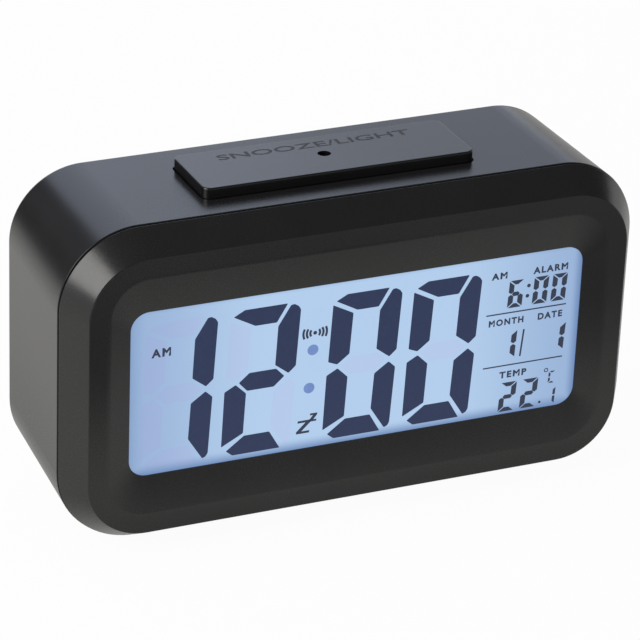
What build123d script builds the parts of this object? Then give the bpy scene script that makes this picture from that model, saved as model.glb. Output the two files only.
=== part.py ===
from build123d import *
import os
from math import cos, radians, sin, sqrt, tan

# A digital alarm clock: a moulded housing on four feet, a chamfered front frame round a backlit
# liquid crystal display, a broad snooze button on top, and keys, a slide switch and a bay for
# three AAA cells at the back. Millimetres; the front looks towards -Y and the top towards +Z.
# The origin lies on the ground under the middle of the clock.

# Body
body_width = 135.0
body_height = 75.0
body_depth = 44.6
corner_radius = 18.1
draft_angle = 2.2
wall = 2.0
back_edge_radius = 1.0
front_edge_radius = 0.2
ground_gap = 0.8
overrun = 1.0

# Front frame: chamfer, flat band, sloped dish and window
chamfer_depth = 7.7
chamfer_inset = 4.5
band_width = 4.4
dish_side_width = 5.35
dish_end_width = 8.8
dish_depth = 1.65
window_radius = 4.2
window_rim = 0.3
frame_wall = 2.2
groove_width = 0.5
groove_depth = 0.25
band_edge_radius = 0.4
mouth_edge_radius = 4.0
frame_back_edge_radius = 0.25
lip_length = 3.0
lip_thickness = 1.6
lip_clearance = 0.1

# Display and backlight, from the window backwards
glass_margin = 1.8
glass_thickness = 1.1
contact_ledge = 2.6
polariser_thickness = 0.25
polariser_inset = 0.6
film_thickness = 0.25
guide_thickness = 3.0
guide_margin = 0.6
stack_clearance = 0.1
led_thickness = 1.2
led_height = 3.5
led_depth = 3.0
led_gap = 0.1
led_pitch = 18.0
leds_per_end = 2
zebra_thickness = 1.8
zebra_end_margin = 3.0
pocket_clearance = 0.25
holder_wall = 1.6
holder_radius = 2.0

# Case screws, their bosses on the frame and their tubes in the housing
boss_reach = 12.0
boss_radius = 3.0
boss_length = 11.6
boss_cover = 0.8
boss_foot_radius = 1.8
boss_clearance = 0.4
tube_radius = 3.7
tube_web = 2.0
case_head_radius = 2.3
case_head_height = 1.6
case_shank_radius = 1.2
case_shank_length = 9.0
case_head_clearance = 0.3

# Small screws that hold the circuit boards
small_head_radius = 1.6
small_head_height = 1.0
small_shank_radius = 0.85
small_shank_length = 4.6
drive_width = 0.5
drive_depth = 0.5
thread_clearance = 0.05
shank_clearance = 0.15
pilot_spare = 0.4

# Circuit boards
board_thickness = 1.2
board_corner = 1.5
main_board_height = 54.0
post_radius = 2.0
post_clearance = 0.4
main_post_rise = 14.0
top_board_depth = 10.0
top_board_end = 3.0
key_board_height = 11.0
key_board_end = 3.0

# Parts soldered on the back of the main board, placed from its middle
chip_radius = 7.0
chip_height = 1.6
chip_edge = 1.2
chip_x = -25.0
chip_rise = -3.0
crystal_radius = 1.0
crystal_length = 6.0
crystal_x = -8.0
crystal_rise = -6.0
capacitor_radius = 2.5
capacitor_height = 7.0
capacitor_edge = 0.5
capacitor_pitch = 7.0
capacitor_x = 8.0
capacitor_rise = 4.0
capacitor_count = 2
thermistor_radius = 1.2
thermistor_stand = 5.0
thermistor_lead_radius = 0.25
thermistor_from_end = 13.3
thermistor_rise = -20.0

# Snooze button and what lies under it
button_length = 63.7
button_depth = 19.9
button_radius = 2.0
button_share = 0.37
button_proud = 2.5
button_gap = 0.35
button_travel = 0.8
button_edge_radius = 0.4
button_roof = 1.6
button_skin = 1.5
flange_lip = 1.6
flange_thickness = 1.2
flange_gap = 0.15
sensor_hole_radius = 1.5
sensor_radius = 2.2
sensor_height = 2.5
sensor_edge = 0.6
press_post_radius = 1.5
press_post_spacing = 40.0
press_post_reach = 1.3

# Push switches: a square case with a well, and a round plunger in it
switch_size = 6.0
switch_height = 3.5
plunger_radius = 1.75
plunger_proud = 0.9
plunger_inside = 0.6
plunger_gap = 0.1
plunger_spare = 0.2

# Setting keys at the back
key_length = 10.0
key_height = 5.5
key_pitch_share = 0.126
key_count = 4
key_proud = 0.8
key_gap = 0.25
key_travel = 0.6
key_edge_radius = 0.4
key_flange_lip = 1.2
key_flange_thickness = 0.9

# Slide switch at the back
slide_spacing_share = 0.13
slide_case_length = 9.0
slide_case_height = 4.2
slide_case_depth = 3.5
slide_travel = 3.0
slide_stem_length = 2.4
slide_stem_height = 1.8
slide_stem_inside = 1.4
slide_cap_length = 4.4
slide_cap_height = 3.0
slide_cap_proud = 0.5
slide_recess_depth = 1.2
slide_gap = 0.25
slide_lift = 0.1
slide_ridge_width = 0.5
slide_ridge_depth = 0.3
slide_ridge_count = 3

# Buzzer and the sound holes behind it
buzzer_radius = 10.0
buzzer_thickness = 0.3
ceramic_radius = 7.0
ceramic_thickness = 0.25
buzzer_ring_height = 1.5
buzzer_ring_width = 1.4
sound_hole_radius = 0.8
sound_hole_pitch = 3.2
sound_hole_rings = 2

# Three AAA cells in their bay
cell_diameter = 10.5
cell_length = 44.5
cell_nub_length = 1.1
cell_nub_radius = 1.9
cell_edge_radius = 0.6
cell_count = 3
cell_gap = 0.4
bay_rise_share = 0.376
bay_wall = 1.4
plate_thickness = 0.4
plate_width = 8.6
plate_clearance = 0.1
bump_height = 0.8
bump_radius = 2.2
bump_tip_radius = 1.4
tab_width = 3.0
tab_reach = 3.0
tab_clearance = 0.25
spring_length = 5.6
spring_wire_radius = 0.32
spring_base_radius = 3.5
spring_tip_radius = 2.2
spring_half_turns = 7
spring_points_per_half_turn = 20
spring_clearance = 0.1

# Battery door
door_thickness = 1.6
door_margin = 2.2
door_gap = 0.3
door_seat_clearance = 0.1
door_radius = 1.5
door_seat_thickness = 1.2
door_tab_width = 6.0
door_tab_thickness = 1.0
door_tab_reach = 2.0
door_tab_root = 2.8
door_tab_spacing = 32.0
door_tab_clearance = 0.25
door_tab_swing = 1.8
latch_width = 14.0
latch_length = 9.0
latch_slit = 0.8
grip_count = 3
grip_width = 0.9
grip_pitch = 2.0
grip_depth = 0.5
thumb_radius = 6.5
thumb_depth = 1.1

# Leads and ribbons
bend_share = 0.45
lead_radius = 0.6
lead_run = 7.0
red_lead_x = 38.0
red_lead_rise = 4.0
black_lead_x = -42.0
black_lead_rise = -14.0
buzzer_lead_radius = 0.4
buzzer_lead_run = 11.5
buzzer_lead_rise = 8.0
ribbon_width = 8.0
ribbon_thickness = 0.8
ribbon_sag = 5.0
ribbon_run = 5.5
ribbon_drop = 3.5
top_ribbon_x = -24.0
top_ribbon_drop = 8.0

# Feet
foot_radius = 5.0
foot_edge_radius = 0.3
foot_side_setback = 20.0
foot_front_setback = 13.5
foot_rear_setback = 6.5

# Places worked out from the sizes above
middle_z = ground_gap + body_height / 2
front_y = -(body_depth + key_proud) / 2
edge_y = front_y + chamfer_depth
back_y = front_y + body_depth
inner_back_y = back_y - wall
slope = tan(radians(draft_angle))

window_width = body_width - 2 * (chamfer_inset + band_width + dish_side_width)
window_height = body_height - 2 * (chamfer_inset + band_width + dish_end_width)
recess_y = front_y + dish_depth + window_rim

glass_width = window_width + 2 * glass_margin
rear_glass_height = window_height + 2 * glass_margin
front_glass_y = recess_y + polariser_thickness
rear_glass_y = front_glass_y + glass_thickness
rear_polariser_y = rear_glass_y + glass_thickness
diffuser_y = rear_polariser_y + polariser_thickness
guide_y = diffuser_y + film_thickness
reflector_y = guide_y + guide_thickness
board_y = reflector_y + film_thickness + stack_clearance
board_back_y = board_y + board_thickness

pocket_width = glass_width + 2 * pocket_clearance
pocket_top = rear_glass_height / 2 + pocket_clearance
pocket_bottom = rear_glass_height / 2 + contact_ledge + pocket_clearance
pocket_shift = (pocket_top - pocket_bottom) / 2
pocket_height = pocket_top + pocket_bottom
main_post_x = pocket_width / 2 + holder_wall + post_clearance + post_radius
main_board_width = 2 * (main_post_x + post_radius)
thermistor_x = main_board_width / 2 - thermistor_from_end
small_screw = (small_head_radius, small_head_height, small_shank_radius, small_shank_length)
case_screw = (case_head_radius, case_head_height, case_shank_radius, case_shank_length)

boss_x = body_width / 2 - corner_radius + boss_reach / sqrt(2)
boss_rise = body_height / 2 - corner_radius + boss_reach / sqrt(2)
boss_end_y = recess_y + boss_length
boss_inset = corner_radius - boss_reach - boss_radius - boss_cover
boss_front_y = edge_y - chamfer_depth * boss_inset / chamfer_inset

key_stack = flange_gap + key_flange_thickness + plunger_proud + switch_height
button_front_limit = chamfer_depth + lip_length + flange_lip + button_depth / 2
button_back_limit = (
    body_depth - wall - key_stack - board_thickness - small_head_height - top_board_depth / 2
)
button_room = button_back_limit - button_front_limit
button_y = front_y + button_front_limit + button_share * button_room
button_z = middle_z + body_height / 2 - slope * (button_y - edge_y)
flange_top = -wall - flange_gap
flange_bottom = flange_top - flange_thickness
press_z = flange_bottom - press_post_reach
top_switch_z = press_z - plunger_proud
top_board_z = top_switch_z - switch_height
top_post_x = button_length / 2 + flange_lip + post_clearance + post_radius
top_board_length = 2 * (top_post_x + top_board_end)
plunger_well = plunger_inside + max(button_travel, key_travel) + plunger_spare

cell_pitch = cell_diameter + cell_gap
bay_z = ground_gap + bay_rise_share * body_height
bay_height = cell_count * cell_pitch + cell_gap
bay_length = 2 * plate_thickness + spring_length + cell_length + bump_height + plate_clearance
door_inner_y = back_y - door_thickness
door_seat_y = door_inner_y - door_seat_clearance
door_length = bay_length + 2 * door_margin
door_height = bay_height + 2 * door_margin
door_bottom = bay_z - door_height / 2
door_top = bay_z + door_height / 2
hinge_radius = door_thickness / 2
hinge_y = back_y - hinge_radius
hinge_z = door_bottom + hinge_radius
cell_y = door_seat_y - cell_gap - cell_diameter / 2
floor_y = cell_y - cell_diameter / 2 - plate_clearance

seat_top = door_top + door_gap + bay_wall
inner_top = middle_z + body_height / 2 - slope * (inner_back_y - edge_y) - wall
key_z = (seat_top + inner_top) / 2
key_flange_y = inner_back_y - flange_gap - key_flange_thickness
key_switch_y = key_flange_y - plunger_proud
key_board_back_y = inner_back_y - key_stack
key_board_y = key_board_back_y - board_thickness
key_pitch = key_pitch_share * body_width
key_places = [(i - (key_count - 1) / 2) * key_pitch for i in range(key_count)]
slide_x = key_places[-1] + slide_spacing_share * body_width
key_post_places = [-key_pitch, key_pitch, key_places[-1] + key_pitch / 2]

seat_side = door_length / 2 + door_gap + bay_wall
inner_side = body_width / 2 - slope * (inner_back_y - edge_y) - wall
buzzer_x = -(seat_side + inner_side) / 2
foot_x = body_width / 2 - foot_side_setback


# Helpers: prisms along each direction, and sections of the body

def prism_y(sketch, x, z, y_from, y_to):
    """A sketch in X and Z, run from one depth back to another."""
    plane = Plane((x, y_from, z), x_dir=(1, 0, 0), z_dir=(0, -1, 0))
    return extrude(plane * sketch, amount=y_from - y_to)


def prism_x(sketch, y, z, x_from, x_to):
    """A sketch in Y and Z, run from one X to another."""
    plane = Plane((x_from, y, z), x_dir=(0, 1, 0), z_dir=(1, 0, 0))
    return extrude(plane * sketch, amount=x_to - x_from)


def top_plane(x, y, z):
    """A plane on the housing's sloping top: y runs back along it and z stands square to it."""
    lean = radians(draft_angle)
    plane = Plane((0, button_y, button_z), x_dir=(1, 0, 0), z_dir=(0, sin(lean), cos(lean)))
    return plane * Pos(x, y, z)


def prism_top(sketch, x, y, z_from, z_to):
    """A sketch on the sloping top, run from one height above it to another."""
    return top_plane(x, y, z_from) * extrude(sketch, amount=z_to - z_from)


def section(width, height, radius, y):
    """A rounded rectangle at one depth, about the middle of the body."""
    plane = Plane((0, y, middle_z), x_dir=(1, 0, 0), z_dir=(0, -1, 0))
    return plane * RectangleRounded(width, height, radius)


def housing_section(y, offset):
    """The drafted housing's outline at one depth, moved inwards by an offset."""
    inset = offset + slope * (y - edge_y)
    return section(body_width - 2 * inset, body_height - 2 * inset, corner_radius - inset, y)


def run_back(outline, y_from, y_to):
    """An outline at one depth, extruded back to another."""
    return extrude(outline, amount=y_from - y_to)


def boss_places():
    """The four corners where the case screws run."""
    return [(x, middle_z + z) for x in (-boss_x, boss_x) for z in (-boss_rise, boss_rise)]


def main_post_places():
    """The four posts that carry the main board."""
    rises = (-main_post_rise, main_post_rise)
    return [(x, middle_z + z) for x in (-main_post_x, main_post_x) for z in rises]


def group(pieces):
    """Several separate solids in one node."""
    return Compound([solid for piece in pieces for solid in piece.solids()])


def screw(head_radius, head_height, shank_radius, shank_length):
    """A pan-head screw, its head standing up from zero and its shank below."""
    rising = (Align.CENTER, Align.CENTER, Align.MIN)
    falling = (Align.CENTER, Align.CENTER, Align.MAX)
    body = Cylinder(head_radius, head_height, align=rising)
    body += Cylinder(shank_radius, shank_length, align=falling)
    for angle in (0, 90):
        bar = Box(2 * head_radius - 2 * drive_width, drive_width, drive_depth, align=falling)
        body -= Pos(0, 0, head_height) * Rot(0, 0, angle) * bar
    return body


def back_screws(places, seat_y, *sizes):
    """Screws driven from the back, with their heads seated at one depth."""
    return group([Plane((x, seat_y, z), z_dir=(0, 1, 0)) * screw(*sizes) for x, z in places])


# Front frame

def front_frame():
    """The chamfered frame: band, dish and window, with a lip that plugs into the housing."""
    band_outer_width = body_width - 2 * chamfer_inset
    band_outer_height = body_height - 2 * chamfer_inset
    band_outer_radius = corner_radius - chamfer_inset
    step_y = edge_y - groove_depth
    front = section(band_outer_width, band_outer_height, band_outer_radius, front_y)
    rim = loft([front, section(body_width, body_height, corner_radius, step_y)], ruled=True)
    rim = fillet(rim.faces().sort_by(Axis.Y)[0].edges(), band_edge_radius)
    rim = fillet(rim.faces().sort_by(Axis.Y)[-1].edges(), frame_back_edge_radius)

    dish_width = band_outer_width - 2 * band_width
    dish_height = band_outer_height - 2 * band_width
    mouth = section(dish_width, dish_height, band_outer_radius - band_width, front_y)
    window = section(window_width, window_height, window_radius, front_y + dish_depth)
    rim -= loft([mouth, window], ruled=True)
    band = rim.faces().sort_by(Axis.Y)[0]
    rim = rim.fillet(mouth_edge_radius, band.inner_wires()[0].edges())

    lip_end_y = edge_y + lip_length
    lip_inset = wall + lip_clearance + slope * lip_length
    rim += run_back(inset_outline(groove_width, step_y), step_y, edge_y)
    rim += run_back(inset_outline(lip_inset, edge_y), edge_y, lip_end_y)

    inner_inset = lip_inset + lip_thickness
    front_inset = chamfer_inset * (edge_y - recess_y) / chamfer_depth + frame_wall
    cavity = loft([inset_outline(front_inset, recess_y), inset_outline(inner_inset, edge_y)], ruled=True)
    rim -= cavity
    rim -= run_back(inset_outline(inner_inset, edge_y), edge_y, lip_end_y + overrun)
    rim -= run_back(window, front_y + dish_depth, recess_y + overrun)

    for x, z in boss_places():
        rim += prism_y(Circle(boss_foot_radius), x, z, recess_y, boss_front_y)
        rim += prism_y(Circle(boss_radius), x, z, boss_front_y, boss_end_y)
    for x, z in main_post_places():
        rim += prism_y(Circle(post_radius), x, z, recess_y, board_y)
    case_pilot = case_shank_length - tube_web + pilot_spare
    for x, z in boss_places():
        hole = Circle(case_shank_radius + thread_clearance)
        rim -= prism_y(hole, x, z, boss_end_y - case_pilot, boss_end_y + overrun)
    small_pilot = small_shank_length - board_thickness + pilot_spare
    for x, z in main_post_places():
        hole = Circle(small_shank_radius + thread_clearance)
        rim -= prism_y(hole, x, z, board_y - small_pilot, board_y + overrun)
    return rim


def inset_outline(inset, y):
    """The body's front outline moved inwards, at one depth."""
    return section(body_width - 2 * inset, body_height - 2 * inset, corner_radius - inset, y)


# Housing

def rear_housing():
    """The drafted shell with its screw tubes, battery bay, posts and openings."""
    shell = loft([housing_section(edge_y, 0), housing_section(back_y, 0)], ruled=True)
    shell = fillet(shell.faces().sort_by(Axis.Y)[-1].edges(), back_edge_radius)
    shell = fillet(shell.faces().sort_by(Axis.Y)[0].edges(), front_edge_radius)
    hollow = [housing_section(edge_y - overrun, wall), housing_section(inner_back_y, wall)]
    shell -= loft(hollow, ruled=True)
    for x, z in boss_places():
        shell += prism_y(Circle(tube_radius), x, z, boss_end_y, inner_back_y)
    for x in key_post_places:
        shell += prism_y(Circle(post_radius), x, key_z, key_board_back_y, inner_back_y)
    for x in (-top_post_x, top_post_x):
        shell += prism_top(Circle(post_radius), x, 0, top_board_z, -wall / 2)
    ring = Circle(buzzer_radius) - Circle(buzzer_radius - buzzer_ring_width)
    shell += prism_y(ring, buzzer_x, bay_z, inner_back_y - buzzer_ring_height, inner_back_y)
    shell += bay_block()
    shell -= bay_cuts()
    for x, z in boss_places():
        head = Circle(case_head_radius + case_head_clearance)
        shank = Circle(case_shank_radius + shank_clearance)
        shell -= prism_y(head, x, z, boss_end_y + tube_web, back_y + overrun)
        shell -= prism_y(shank, x, z, boss_end_y - overrun, boss_end_y + tube_web)
    for hole in key_openings() + post_pilots() + sound_holes():
        shell -= hole
    slot = RectangleRounded(
        button_length + 2 * button_gap, button_depth + 2 * button_gap, button_radius + button_gap
    )
    return shell - prism_top(slot, 0, 0, -wall - overrun, overrun)


def bay_block():
    """The walls of the battery bay, and the thicker seat under the door."""
    outer = Rectangle(bay_length + 2 * bay_wall, bay_height + 2 * bay_wall)
    seat = Rectangle(
        door_length + 2 * (door_gap + bay_wall), door_height + 2 * (door_gap + bay_wall)
    )
    block = prism_y(outer, 0, bay_z, floor_y - bay_wall, inner_back_y)
    return block + prism_y(seat, 0, bay_z, door_seat_y - door_seat_thickness, inner_back_y)


def bay_cuts():
    """The bay, the door's recess with its hinge trough, tab slots and notch, and the contacts' slots."""
    cuts = prism_y(Rectangle(bay_length, bay_height), 0, bay_z, floor_y, back_y + overrun)
    recess = RectangleRounded(
        door_length + 2 * door_gap, door_height + 2 * door_gap, door_radius + door_gap
    )
    cuts += prism_y(recess, 0, bay_z, door_seat_y, back_y + overrun)
    trough_end = door_length / 2 + door_gap
    cuts += prism_x(Circle(hinge_radius + door_gap), hinge_y, hinge_z, -trough_end, trough_end)
    slot_top = door_bottom + door_tab_root + door_tab_clearance
    slot_bottom = door_bottom - door_tab_reach - door_tab_clearance
    slot_width = door_tab_width + 2 * door_tab_clearance
    slot_front = door_inner_y - door_tab_thickness - door_tab_swing
    for x in (-door_tab_spacing / 2, door_tab_spacing / 2):
        slot = Rectangle(slot_width, slot_top - slot_bottom)
        slot_z = (slot_top + slot_bottom) / 2
        cuts += prism_y(slot, x, slot_z, slot_front, door_inner_y + door_tab_clearance)
    cuts += prism_y(Circle(thumb_radius), 0, door_top, back_y - thumb_depth, back_y + overrun)
    for x, z in tab_places():
        slot = Rectangle(plate_thickness + 2 * tab_clearance, tab_width + 2 * tab_clearance)
        cuts += prism_y(slot, x, z, floor_y - bay_wall - overrun, floor_y)
    return cuts


def key_openings():
    """The openings for the four keys and for the slide switch."""
    keyhole = SlotOverall(key_length + 2 * key_gap, key_height + 2 * key_gap)
    cuts = [prism_y(keyhole, x, key_z, inner_back_y - overrun, back_y + overrun) for x in key_places]
    stem = Rectangle(
        slide_stem_length + slide_travel + 2 * slide_gap, slide_stem_height + 2 * slide_gap
    )
    recess = Rectangle(
        slide_cap_length + slide_travel + 2 * slide_gap, slide_cap_height + 2 * slide_gap
    )
    cuts.append(prism_y(stem, slide_x, key_z, inner_back_y - overrun, back_y))
    cuts.append(prism_y(recess, slide_x, key_z, back_y - slide_recess_depth, back_y + overrun))
    return cuts


def post_pilots():
    """Pilot holes in the posts for the key board and the board under the button."""
    depth = small_shank_length - board_thickness + pilot_spare
    hole = Circle(small_shank_radius + thread_clearance)
    cuts = []
    for x in key_post_places:
        cuts.append(
            prism_y(hole, x, key_z, key_board_back_y - overrun, key_board_back_y + depth)
        )
    for x in (-top_post_x, top_post_x):
        cuts.append(prism_top(hole, x, 0, top_board_z - overrun, top_board_z + depth))
    return cuts


def sound_holes():
    """Rings of small holes in the back wall, six more in each ring outwards."""
    cuts = []
    for ring in range(sound_hole_rings + 1):
        count = max(1, 6 * ring)
        for i in range(count):
            turn = radians(360 * i / count)
            x = buzzer_x + ring * sound_hole_pitch * cos(turn)
            z = bay_z + ring * sound_hole_pitch * sin(turn)
            cuts.append(
                prism_y(Circle(sound_hole_radius), x, z, inner_back_y - overrun, back_y + overrun)
            )
    return cuts


# Display and backlight

def panel(width, height, rise, y, thickness):
    """One flat layer of the display."""
    return prism_y(Rectangle(width, height), 0, middle_z + rise, y, y + thickness)


def display_layers():
    """The display's glass and films, and the backlight behind them."""
    film_width = glass_width - 2 * polariser_inset
    film_height = rear_glass_height - 2 * polariser_inset
    guide_width = window_width + 2 * guide_margin
    front_height = rear_glass_height + contact_ledge
    return {
        "lcd_front_polariser": panel(film_width, film_height, 0, recess_y, polariser_thickness),
        "lcd_front_glass": panel(
            glass_width, front_height, -contact_ledge / 2, front_glass_y, glass_thickness
        ),
        "lcd_rear_glass": panel(glass_width, rear_glass_height, 0, rear_glass_y, glass_thickness),
        "lcd_rear_polariser": panel(
            film_width, film_height, 0, rear_polariser_y, polariser_thickness
        ),
        "diffuser_sheet": panel(guide_width, rear_glass_height, 0, diffuser_y, film_thickness),
        "light_guide": panel(guide_width, rear_glass_height, 0, guide_y, guide_thickness),
        "reflector_sheet": panel(guide_width, rear_glass_height, 0, reflector_y, film_thickness),
    }


def backlight_leds():
    """Small lamps on the main board that shine into both ends of the light guide."""
    lamps = []
    x = window_width / 2 + guide_margin + led_gap + led_thickness / 2
    for side in (-x, x):
        for i in range(leds_per_end):
            z = middle_z + (i - (leds_per_end - 1) / 2) * led_pitch
            lamps.append(
                prism_y(Rectangle(led_thickness, led_height), side, z, board_y - led_depth, board_y)
            )
    return group(lamps)


def lcd_holder():
    """The ring that keeps glass and backlight in place between the frame and the main board."""
    outer = RectangleRounded(
        pocket_width + 2 * holder_wall, pocket_height + 2 * holder_wall, holder_radius
    )
    ring = prism_y(
        outer - Rectangle(pocket_width, pocket_height), 0, middle_z + pocket_shift, recess_y, board_y
    )
    for x, z in boss_places():
        notch = Circle(boss_radius + boss_clearance)
        ring -= prism_y(notch, x, z, recess_y - overrun, board_y + overrun)
    return ring


def zebra_strip():
    """Conductive rubber between the display's contact ledge and the main board."""
    rise = -rear_glass_height / 2 - contact_ledge / 2
    strip = Rectangle(glass_width - 2 * zebra_end_margin, zebra_thickness)
    return prism_y(strip, 0, middle_z + rise, rear_glass_y, board_y)


# Circuit boards and their parts

def main_board():
    """The main board, notched round the screw bosses, on the frame's posts."""
    outline = RectangleRounded(main_board_width, main_board_height, board_corner)
    board = prism_y(outline, 0, middle_z, board_y, board_back_y)
    for x, z in boss_places():
        notch = Circle(boss_radius + boss_clearance)
        board -= prism_y(notch, x, z, board_y - overrun, board_back_y + overrun)
    for x, z in main_post_places():
        hole = Circle(small_shank_radius + shank_clearance)
        board -= prism_y(hole, x, z, board_y - overrun, board_back_y + overrun)
    return board


def chip_blob():
    """The drop of black resin over the clock chip."""
    z = middle_z + chip_rise
    drop = prism_y(Circle(chip_radius), chip_x, z, board_back_y, board_back_y + chip_height)
    return fillet(drop.faces().sort_by(Axis.Y)[-1].edges(), chip_edge)


def crystal():
    """The timing crystal's can, lying on the board."""
    y = board_back_y + crystal_radius
    z = middle_z + crystal_rise
    return prism_x(Circle(crystal_radius), y, z, crystal_x, crystal_x + crystal_length)


def capacitors():
    """Electrolytic cans that stand on the board."""
    cans = []
    for i in range(capacitor_count):
        x = capacitor_x + i * capacitor_pitch
        can = prism_y(
            Circle(capacitor_radius), x, middle_z + capacitor_rise,
            board_back_y, board_back_y + capacitor_height,
        )
        cans.append(fillet(can.faces().sort_by(Axis.Y)[-1].edges(), capacitor_edge))
    return group(cans)


def thermistor():
    """The temperature sensor's bead, on two short legs."""
    z = middle_z + thermistor_rise
    y = board_back_y + thermistor_stand
    bead = Pos(thermistor_x, y, z) * Sphere(thermistor_radius)
    for x in (thermistor_x - thermistor_radius / 2, thermistor_x + thermistor_radius / 2):
        bead += prism_y(Circle(thermistor_lead_radius), x, z, board_back_y, y)
    return bead


def push_switch():
    """A square switch case standing up from zero, with the well for its plunger."""
    rising = (Align.CENTER, Align.CENTER, Align.MIN)
    case = Box(switch_size, switch_size, switch_height, align=rising)
    well = Cylinder(plunger_radius + plunger_gap, plunger_well + overrun, align=rising)
    return case - Pos(0, 0, switch_height - plunger_well) * well


def push_plunger():
    """A plunger that stands up from the switch's top at zero and reaches into its well."""
    length = plunger_proud + plunger_inside
    rising = (Align.CENTER, Align.CENTER, Align.MIN)
    return Pos(0, 0, -plunger_inside) * Cylinder(plunger_radius, length, align=rising)


# Snooze button and the board under it

def snooze_button():
    """The broad cap, its retaining flange, the sensor hole and two posts that press the switches."""
    cap = prism_top(
        RectangleRounded(button_length, button_depth, button_radius), 0, 0, flange_bottom, button_proud
    )
    top = cap.faces().sort_by(Axis.Z)[-1]
    cap = fillet(top.edges(), button_edge_radius)
    flange = RectangleRounded(
        button_length + 2 * flange_lip, button_depth + 2 * flange_lip, button_radius
    )
    cap += prism_top(flange, 0, 0, flange_bottom, flange_top)
    hollow = RectangleRounded(
        button_length - 2 * button_skin, button_depth - 2 * button_skin, button_radius - button_skin
    )
    roof = button_proud - button_roof
    cap -= prism_top(hollow, 0, 0, flange_bottom - overrun, roof)
    for x in (-press_post_spacing / 2, press_post_spacing / 2):
        cap += prism_top(Circle(press_post_radius), x, 0, press_z, roof)
    return cap - prism_top(Circle(sensor_hole_radius), 0, 0, roof - overrun, button_proud + overrun)


def snooze_switches():
    """Two push switches on the board under the button."""
    places = (-press_post_spacing / 2, press_post_spacing / 2)
    return group([top_plane(x, 0, top_board_z) * push_switch() for x in places])


def snooze_plungers():
    """Their plungers, which travel with the button."""
    places = (-press_post_spacing / 2, press_post_spacing / 2)
    return group([top_plane(x, 0, top_switch_z) * push_plunger() for x in places])


def light_sensor():
    """The round light cell under the button's hole."""
    cell = prism_top(Circle(sensor_radius), 0, 0, top_board_z, top_board_z + sensor_height)
    return fillet(cell.faces().sort_by(Axis.Z)[-1].edges(), sensor_edge)


def top_board():
    """The long board under the button, hung from two posts in the housing's top."""
    outline = RectangleRounded(top_board_length, top_board_depth, board_corner)
    board = prism_top(outline, 0, 0, top_board_z - board_thickness, top_board_z)
    for x in (-top_post_x, top_post_x):
        hole = Circle(small_shank_radius + shank_clearance)
        board -= prism_top(hole, x, 0, top_board_z - board_thickness - overrun, top_board_z + overrun)
    return board


def top_board_screws():
    """The two screws that hold the top board from below."""
    screws = []
    for x in (-top_post_x, top_post_x):
        seat = top_plane(x, 0, top_board_z - board_thickness) * Rot(180, 0, 0)
        screws.append(seat * screw(*small_screw))
    return group(screws)


# Keys, slide switch and the board behind them

def setting_key(x):
    """One key: an oblong cap proud of the back, with a flange inside."""
    cap = prism_y(SlotOverall(key_length, key_height), x, key_z, key_flange_y, back_y + key_proud)
    cap = fillet(cap.faces().sort_by(Axis.Y)[-1].edges(), key_edge_radius)
    flange = SlotOverall(key_length + 2 * key_flange_lip, key_height + 2 * key_flange_lip)
    return cap + prism_y(flange, x, key_z, key_flange_y, key_flange_y + key_flange_thickness)


def facing_back(x, y):
    """A plane at the keys' height, with z running to the back."""
    return Plane((x, y, key_z), x_dir=(-1, 0, 0), z_dir=(0, 1, 0))


def key_switches():
    """The four push switches behind the keys."""
    return group([facing_back(x, key_board_back_y) * push_switch() for x in key_places])


def key_board():
    """The board behind the keys, screwed to posts on the back wall."""
    left = key_places[0] - switch_size / 2 - key_board_end
    right = slide_x + slide_case_length / 2 + key_board_end / 2
    outline = RectangleRounded(right - left, key_board_height, board_corner)
    board = prism_y(outline, (left + right) / 2, key_z, key_board_y, key_board_back_y)
    for x in key_post_places:
        hole = Circle(small_shank_radius + shank_clearance)
        board -= prism_y(hole, x, key_z, key_board_y - overrun, key_board_back_y + overrun)
    return board


def key_board_screws():
    """The screws that hold the key board, driven from the front."""
    seats = [Plane((x, key_board_y, key_z), z_dir=(0, -1, 0)) for x in key_post_places]
    return group([seat * screw(*small_screw) for seat in seats])


def slide_switch_case():
    """The slide switch's case, open at the back along the knob's travel."""
    case_back = key_board_back_y + slide_case_depth
    case = prism_y(
        Rectangle(slide_case_length, slide_case_height), slide_x, key_z, key_board_back_y, case_back
    )
    slot = Rectangle(
        slide_stem_length + slide_travel + 2 * slide_gap, slide_stem_height + 2 * slide_gap
    )
    slot_front = case_back - slide_stem_inside - slide_lift
    return case - prism_y(slot, slide_x, key_z, slot_front, case_back + overrun)


def slide_switch_knob():
    """The knob at one end of its travel: a stem through the wall and a ridged cap."""
    x = slide_x - slide_travel / 2
    stem_front = key_board_back_y + slide_case_depth - slide_stem_inside
    cap_front = back_y - slide_recess_depth + slide_lift
    cap_back = back_y + slide_cap_proud
    knob = prism_y(Rectangle(slide_stem_length, slide_stem_height), x, key_z, stem_front, cap_front)
    knob += prism_y(Rectangle(slide_cap_length, slide_cap_height), x, key_z, cap_front, cap_back)
    ridge_pitch = slide_cap_length / (slide_ridge_count + 1)
    for i in range(slide_ridge_count):
        groove_x = x + (i - (slide_ridge_count - 1) / 2) * ridge_pitch
        groove = Rectangle(slide_ridge_width, slide_cap_height + overrun)
        knob -= prism_y(groove, groove_x, key_z, cap_back - slide_ridge_depth, cap_back + overrun)
    return knob


# Buzzer

def buzzer_disc():
    """The brass disc, glued on the ring inside the back wall."""
    y = inner_back_y - buzzer_ring_height
    return prism_y(Circle(buzzer_radius), buzzer_x, bay_z, y - buzzer_thickness, y)


def buzzer_ceramic():
    """The ceramic layer on the disc."""
    y = inner_back_y - buzzer_ring_height - buzzer_thickness
    return prism_y(Circle(ceramic_radius), buzzer_x, bay_z, y - ceramic_thickness, y)


# Battery bay: cells stand side by side and turn end for end, in series

def cell_height(index):
    """The height of one cell's axis above the ground."""
    return bay_z + (index - (cell_count - 1) / 2) * cell_pitch


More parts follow.
